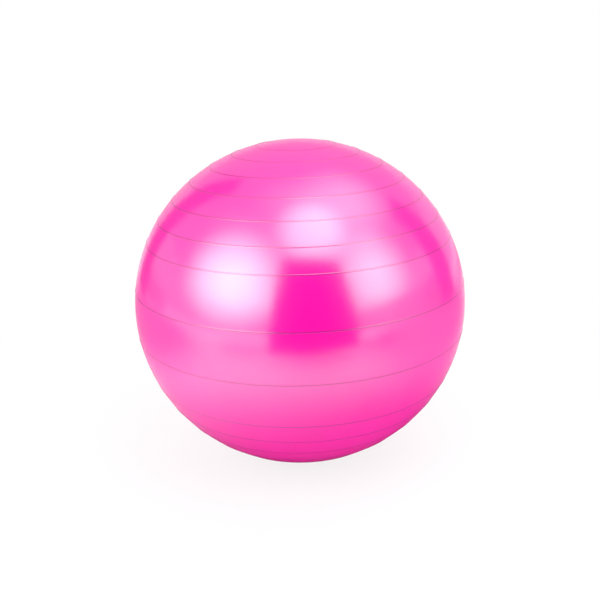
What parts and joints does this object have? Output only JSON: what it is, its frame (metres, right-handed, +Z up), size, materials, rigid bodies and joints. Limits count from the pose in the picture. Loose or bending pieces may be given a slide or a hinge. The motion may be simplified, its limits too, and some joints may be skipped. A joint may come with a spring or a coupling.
{
  "type": "exercise ball",
  "caption": "Inflated round exercise ball with raised ring ribs around its vertical axis, and a push-in plug in a flush valve at the back.",
  "frame": {"origin": "on the floor, at the middle of the flat that the ball's weight presses, below its centre", "axes": "+Z up along the poles, the axis of the ring ribs; -Y is the front, and the valve is on the +Y side"},
  "size_m": [0.65, 0.65, 0.635],
  "materials": {
    "pearl_skin": "satin",
    "valve_pvc": "satin",
    "plug_plastic": "satin"
  },
  "bodies": {
    "ball": {"ball_skin": "pearl_skin", "valve_body": "valve_pvc"},
    "plug": {"valve_plug": "plug_plastic"}
  },
  "joints": [
    {"name": "plug_pull", "type": "slide", "parent": "ball", "child": "plug", "axis": [0, 0.9546, 0.2978], "range_m": [0, 0.022]}
  ]
}
